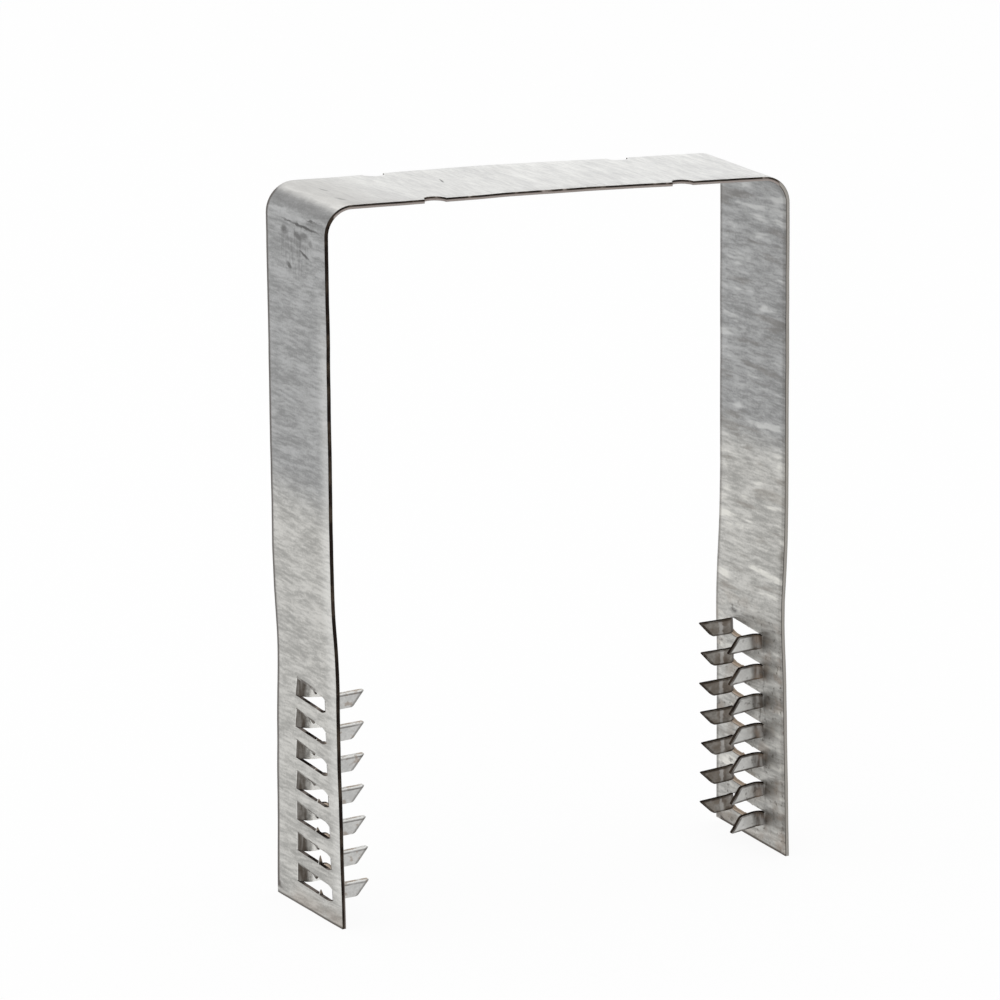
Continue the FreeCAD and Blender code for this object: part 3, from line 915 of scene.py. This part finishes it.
def lay_edge_lines(paint, on, finish):
    """Sheen along the left leg's front edge, soiled feet, and dark lines on the edges and feet."""
    gap, z = paint.mark("edge_gap"), on.z
    behind = on.y.ramp(0.0, 0.001)
    ahead = 1 - behind
    # Painted highlight: a sheen of bright zinc beside the left leg's front edge
    sheen = gap.fade(0.6, 4.5) * ahead * on.on_left * on.outer
    paint.lay(sheen * z.fade(0.100, 0.122, 0.3) * z.ramp(0.002, 0.006), finish.bright_zinc_and_highlight)
    paint.lay(z.fade(0.0006, 0.0045, 0.3) * on.mottle.ramp(0.35, 0.6), finish.rust)
    above_foot = z.ramp(0.0008, 0.0016)
    thin = gap.fade(0.4, 1.15) * behind * above_foot * on.x.ramp(-0.001, 0.001, 0.95, 0.45)
    wide = gap.fade(0.5, 1.6) * ahead * on.mottle.ramp(0.3, 0.6, 0.55, 1.0)
    off_corner = abs(on.y).fade(0.0106, 0.0114)
    slanted = gap.fade(0.32, 0.75) * z.fade(0.0018, 0.0026) * off_corner * on.on_right
    foot = z.fade(0.00025, 0.00060) * 0.85 | slanted * 0.95
    lines = thin | foot | on.right_leg * wide * above_foot * 0.32
    paint.lay(lines * (1 - on.bridge_top), finish.root_stain)


def lay_tooth_shade_and_stains(paint, on, finish):
    """Brown-grey right blades, and painted shade with streaks of stain round the teeth's bends, painted
    highlights there, and painted shade on the leg beside them.
    """
    bend = paint.mark("root_stain")
    outside, inside = on.tooth * on.outer, on.tooth * on.inner
    paint.lay(outside * on.on_right * on.blotch.ramp(0.35, 0.65, 0.45, 1.0), finish.brown_grey)
    paint.lay(inside * 0.55, finish.zinc_pale)
    paint.lay(inside * on.on_right * 0.25, finish.bright_zinc_and_highlight)
    # Painted light: the left teeth's outer sides, shaded by the leg, are laid in bright zinc past their
    # bends
    paint.lay(outside * on.on_left * bend.fade(0.54, 0.70, 0.85), finish.bright_zinc_and_highlight)
    paint.lay(outside * on.on_left * bend.fade(0.02, 0.22, 0.9), finish.cut_tan)
    # Painted shade on the right teeth's convex bends, with a painted highlight band (bend_highlight) where
    # they turn
    wavy = bend + paint.noise(on.place, (1.1, 1.1, 1.1), 3.0) * 0.26
    paint.lay(wavy.ramp(0.45, 0.56) * on.outer * on.on_right * 0.40, finish.root_stain)
    bend_highlight = wavy.ramp(0.28, 0.35) * wavy.fade(0.43, 0.51) * on.tooth * on.outer * on.on_right
    paint.lay(bend_highlight * 0.55, finish.zinc_pale)
    # Painted shade in the teeth's bends, on both sides of the sheet, broken up into streaks
    streaky = paint.noise(on.place, (1.4, 1.4, 0.25), 2.0).ramp(0.3, 0.65, 0.75, 1.0)
    hollow_shade = on.inner * on.on_right * bend.ramp(0.42, 0.68) * 0.95 | on.inner * bend.ramp(0.62, 0.82) * 0.9
    paint.lay((on.outer * bend.ramp(0.69, 0.82) * 0.95 | hollow_shade) * streaky, finish.root_stain)
    # Painted shade on the leg beside each front tooth's bend, broken up by noise
    beside = paint.mark("leg_shade") * on.inner * on.fine.ramp(0.25, 0.6, 0.7, 1.0)
    paint.lay(beside * 0.9, finish.root_stain)


def lay_tooth_rims(paint, on, finish):
    """Dark rims of the right teeth, and the painted shade of a crease, a painted highlight along the top
    edge, a dark tip and rust dabs of the left ones.
    """
    rise = paint.mark("tooth_rise")
    tip = paint.mark("tip_gap").fade(0.3, 0.65)
    rim = (abs(rise).ramp(0.70, 0.88) | tip) * on.tooth * on.on_right
    paint.lay(rim * on.blotch.ramp(0.3, 0.6, 0.55, 1.0) * 0.92, finish.root_stain)
    inside = on.tooth * on.on_left * on.inner
    # Painted shade along a crease below the left teeth's top edges, and a painted highlight along those
    # edges
    crease_shade = rise.ramp(0.52, 0.64) * rise.fade(0.70, 0.82) * inside
    paint.lay(crease_shade * on.blotch.ramp(0.3, 0.6, 0.3, 0.7), finish.root_stain)
    paint.lay(rise.ramp(0.80, 0.90) * inside * 0.7, finish.bright_zinc_and_highlight)
    paint.lay(tip * on.tooth * on.on_left * 0.5, finish.root_stain)
    dabs = paint.noise(on.place, (0.8, 0.8, 0.9), 2.0).ramp(0.55, 0.68, 0.0, 0.5)
    paint.lay(dabs * inside, finish.rust)


def lay_slot_stains(paint, on, finish):
    """Lines along the slots' edges, and rust and specks round the right leg's slots."""
    lip = paint.mark("slot_lip")
    line = lip.ramp(0.62, 0.80) * on.outer * on.on_left
    paint.lay(line * on.blotch.ramp(0.35, 0.6, 0.4, 0.9), finish.root_stain)
    lip = lip * on.inner * on.on_right
    paint.lay(lip.ramp(0.42, 0.60) * 0.75, finish.root_stain)
    paint.lay(lip.ramp(0.64, 0.74) * 0.9, finish.cut_tan)
    low = on.right_leg * on.inner * on.z.fade(0.040, 0.052)
    rusty = paint.noise(on.place, (0.30, 0.20, 0.30), 4.0).ramp(0.52, 0.68)
    paint.lay(low * rusty * 0.32, finish.rust)
    specks = paint.noise(on.place, (1.1, 0.9, 1.1), 3.0).ramp(0.58, 0.72)
    paint.lay(low * specks * 0.6, finish.root_stain)


def galvanised_sheet(finish):
    """Zinc with wavy streaks across the strap, scuffed at the left fold and stained at the teeth."""
    def layers(paint):
        on = sheet_patterns(paint)
        lay_zinc(paint, on, finish)
        lay_scuffs(paint, on, finish)
        lay_edge_lines(paint, on, finish)
        lay_tooth_shade_and_stains(paint, on, finish)
        lay_tooth_rims(paint, on, finish)
        lay_slot_stains(paint, on, finish)
        relief = on.fine * 0.5 + on.ridges * on.right_leg * 1.8
        bump = paint.value("ShaderNodeBump", Strength=0.5, Distance=0.1 * MM, Height=relief)
        return {"Base Color": paint.colour, "Metallic": 0.85, "Roughness": 0.42, "Normal": bump}

    return painted("galvanised_sheet", layers)


def sheared_edge(finish):
    """Bare steel of the cut edges: dark, but paler under the bridge, on the right leg and in the slots,
    with a painted highlight on the left teeth's top walls.
    """
    def layers(paint):
        place = paint.value("ShaderNodeTexCoord", None, "Object")
        x, y, z = paint.axes(place)
        tooth, outer, stain = (paint.mark(name) for name in ("tooth", "outer_side", "root_stain"))
        left, right = x.fade(-0.0446, -0.0442), x.ramp(0.0440, 0.0444)
        legs, off_tooth = left + right, 1 - tooth
        long_edge = abs(y).ramp(0.0114, 0.0117)
        slot = (1 - long_edge) * off_tooth * legs * z.fade(0.046, 0.048)
        patches = paint.noise(place, (0.35, 0.35, 0.35), 4.0)
        paint.colour = paint.mix(patches.ramp(0.4, 0.7), finish.cut_dark, finish.root_stain)
        pale = outer.fade(0.35, 0.62, 0.85) | patches.ramp(0.58, 0.70) * 0.7
        paint.lay((1 - legs) * off_tooth * pale, finish.cut_pale)
        middle = outer.ramp(0.12, 0.30) * outer.fade(0.84, 0.96)
        paint.lay(right * long_edge * middle * 0.95, finish.cut_bright)
        on_left, ahead = x.fade(-0.001, 0.001), y.fade(-0.0045, -0.0035)
        # Painted highlight: the left teeth's top walls, which face up, are laid in bright zinc, then partly
        # stained tan
        top = paint.mark("tooth_rise").ramp(0.75, 0.95) * tooth * on_left * ahead
        paint.lay(top * 0.95, finish.bright_zinc_and_highlight)
        tanned = paint.noise(place, (0.5, 0.5, 0.7), 3.0).ramp(0.42, 0.56)
        paint.lay(top * tanned * 0.75, finish.cut_tan)
        paint.lay(slot * left * patches.ramp(0.4, 0.65) * 0.4, finish.cut_pale)
        paint.lay(slot * right * 0.85, finish.cut_tan)
        burr = stain.ramp(0.03, 0.14) * stain.fade(0.32, 0.42) * slot * left
        paint.lay(burr * 0.6, finish.cut_tan)
        return {"Base Color": paint.colour, "Metallic": 0.0, "Specular IOR Level": 0.0, "Roughness": 0.6}

    return painted("sheared_edge", layers)


class OBJECT_OT_stud_tie_strap(bpy.types.Operator):
    """Model the folded strap with its lanced teeth"""

    bl_idname = "object.stud_tie_strap"
    bl_label = "Stud tie strap"

    def execute(self, context):
        wear = context.scene.stud_tie_wear
        finish = context.scene.stud_tie_finish
        plan = Strap(context.scene.stud_tie_sizes)
        chance = random.Random(SEED)
        strap = flat_bridge(plan)
        edge_notches(strap, plan, wear)
        place_bridge(strap, plan)
        for side in (LEFT, RIGHT):
            fold_and_leg(strap, plan, side)
            cut_slots(strap, plan, side)
        bpy.ops.mesh.select_all(action="SELECT")
        bpy.ops.mesh.normals_make_consistent(inside=False)
        for side in (LEFT, RIGHT):
            for end in (FRONT, BACK):
                bend_teeth(strap, plan, wear, side, end)
        raise_spurs(strap, plan, wear, chance)
        ease_slot_ends(strap, plan)
        mark_places(strap, plan, wear)
        loosen_teeth(strap, plan, wear, chance)
        round_tips(strap, plan)
        skew_slots(strap, plan, wear)
        lean_and_twist(strap, plan, wear)
        bpy.ops.object.mode_set(mode="OBJECT")
        strap.data.materials.append(galvanised_sheet(finish))
        strap.data.materials.append(sheared_edge(finish))
        thicken(strap, plan, wear)
        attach(strap, "root")
        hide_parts(SOLID)
        return {"FINISHED"}


def white_floor(look):
    """A pale floor that keeps the tie's shadow and shows white to the camera and to the metal."""
    bpy.ops.object.select_all(action="DESELECT")
    bpy.ops.mesh.primitive_plane_add(size=look.floor_size)
    floor = bpy.context.object
    floor.name = "floor"
    material = bpy.data.materials.new("white_floor")
    material.use_nodes = True
    material.node_tree.nodes.clear()
    paint = Paint(material.node_tree)
    paper = paint.value("ShaderNodeBsdfDiffuse", Color=(0.9, 0.9, 0.9, 1.0))
    white = paint.value("ShaderNodeEmission", Strength=1.0)
    rays = [f"Is {kind} Ray" for kind in ("Camera", "Glossy", "Transmission")]
    camera, glossy, through = (paint.value("ShaderNodeLightPath", None, ray) for ray in rays)
    share = (camera | glossy | through) * look.floor_white
    mixed = paint.value("ShaderNodeMixShader", i0=share, i1=paper, i2=white)
    paint.value("ShaderNodeOutputMaterial", Surface=mixed)
    floor.data.materials.append(material)


def studio_sky(look):
    """Even light from all round, brightest at the horizon, white where the camera sees it."""
    world = bpy.data.worlds.new("studio_sky")
    bpy.context.scene.world = world
    world.use_nodes = True
    world.node_tree.nodes.clear()
    paint = Paint(world.node_tree)
    seen = paint.value("ShaderNodeLightPath", None, "Is Camera Ray")
    height = paint.axes(paint.value("ShaderNodeTexCoord", None, "Generated"))[2]
    power = height.ramp(0.27, 0.46, look.horizon_power, look.sky_power)
    even, white = (
        paint.value("ShaderNodeBackground", Color=(1.0, 1.0, 1.0, 1.0), Strength=strength)
        for strength in (power, 1.0)
    )
    mixed = paint.value("ShaderNodeMixShader", i0=seen, i1=even, i2=white)
    paint.value("ShaderNodeOutputWorld", Surface=mixed)


def softbox(look):
    """A large square lamp that faces the tie."""
    bpy.ops.object.light_add(type="AREA", location=look.lamp_place)
    lamp = bpy.context.object
    lamp.name = "overhead_softbox"
    lamp.data.energy = look.lamp_power
    lamp.data.size = look.lamp_size
    lamp.rotation_mode = "QUATERNION"
    lamp.rotation_quaternion = (Vector(look.aim) - Vector(look.lamp_place)).to_track_quat("-Z", "Y")


def photo_camera(look):
    """A camera at the photograph's viewing angle."""
    a, e, r = look.azimuth, look.elevation, look.roll
    back = Vector((math.sin(a) * math.cos(e), -math.cos(a) * math.cos(e), math.sin(e)))
    level = Vector((0, 0, 1)).cross(back).normalized()
    above = back.cross(level)
    right = math.cos(r) * level + math.sin(r) * above
    up = math.cos(r) * above - math.sin(r) * level
    place = Vector(look.aim) + back * look.distance
    bpy.ops.object.camera_add()
    camera = bpy.context.object
    camera.name = "photo_camera"
    camera.matrix_world = Matrix.Translation(place) @ Matrix((right, up, back)).transposed().to_4x4()
    camera.data.sensor_width = 36.0
    camera.data.lens = look.focal * camera.data.sensor_width / 1000
    camera.data.clip_start = 0.01
    camera.data.clip_end = 100.0
    bpy.context.scene.camera = camera


class SCENE_OT_stud_tie_stage(bpy.types.Operator):
    """Set up the floor, the light and the camera"""

    bl_idname = "scene.stud_tie_stage"
    bl_label = "Stud tie stage"

    def execute(self, context):
        look = context.scene.stud_tie_stage
        white_floor(look)
        studio_sky(look)
        softbox(look)
        photo_camera(look)
        context.scene.view_settings.view_transform = "Standard"
        return {"FINISHED"}


class VIEW3D_PT_stud_tie(bpy.types.Panel):
    """The tie's sizes, wear, finish and stage"""

    bl_idname = "VIEW3D_PT_stud_tie"
    bl_label = "Stud tie"
    bl_space_type = "VIEW_3D"
    bl_region_type = "UI"
    bl_category = "Stud tie"

    def draw(self, context):
        """Lists the settings and the two operators."""
        for name in SETTINGS:
            group = getattr(context.scene, name)
            column = self.layout.column()
            for key in group.__annotations__:
                column.prop(group, key)
        self.layout.operator("object.stud_tie_strap")
        self.layout.operator("scene.stud_tie_stage")


SETTINGS = {
    "stud_tie_sizes": StrapSizes,
    "stud_tie_wear": StrapWear,
    "stud_tie_finish": StrapFinish,
    "stud_tie_stage": StageLook,
}
CLASSES = (*SETTINGS.values(), OBJECT_OT_stud_tie_strap, SCENE_OT_stud_tie_stage, VIEW3D_PT_stud_tie)


def register():
    """Makes the settings and operators known."""
    for item in CLASSES:
        bpy.utils.register_class(item)
    for name, group in SETTINGS.items():
        setattr(bpy.types.Scene, name, PointerProperty(type=group))


def unregister():
    """Takes the settings and operators away again."""
    for name in SETTINGS:
        delattr(bpy.types.Scene, name)
    for item in reversed(CLASSES):
        bpy.utils.unregister_class(item)


def main():
    """Builds the tie and its stage."""
    register()
    bpy.ops.object.stud_tie_strap()
    bpy.ops.scene.stud_tie_stage()


if __name__ == "__main__":
    main()
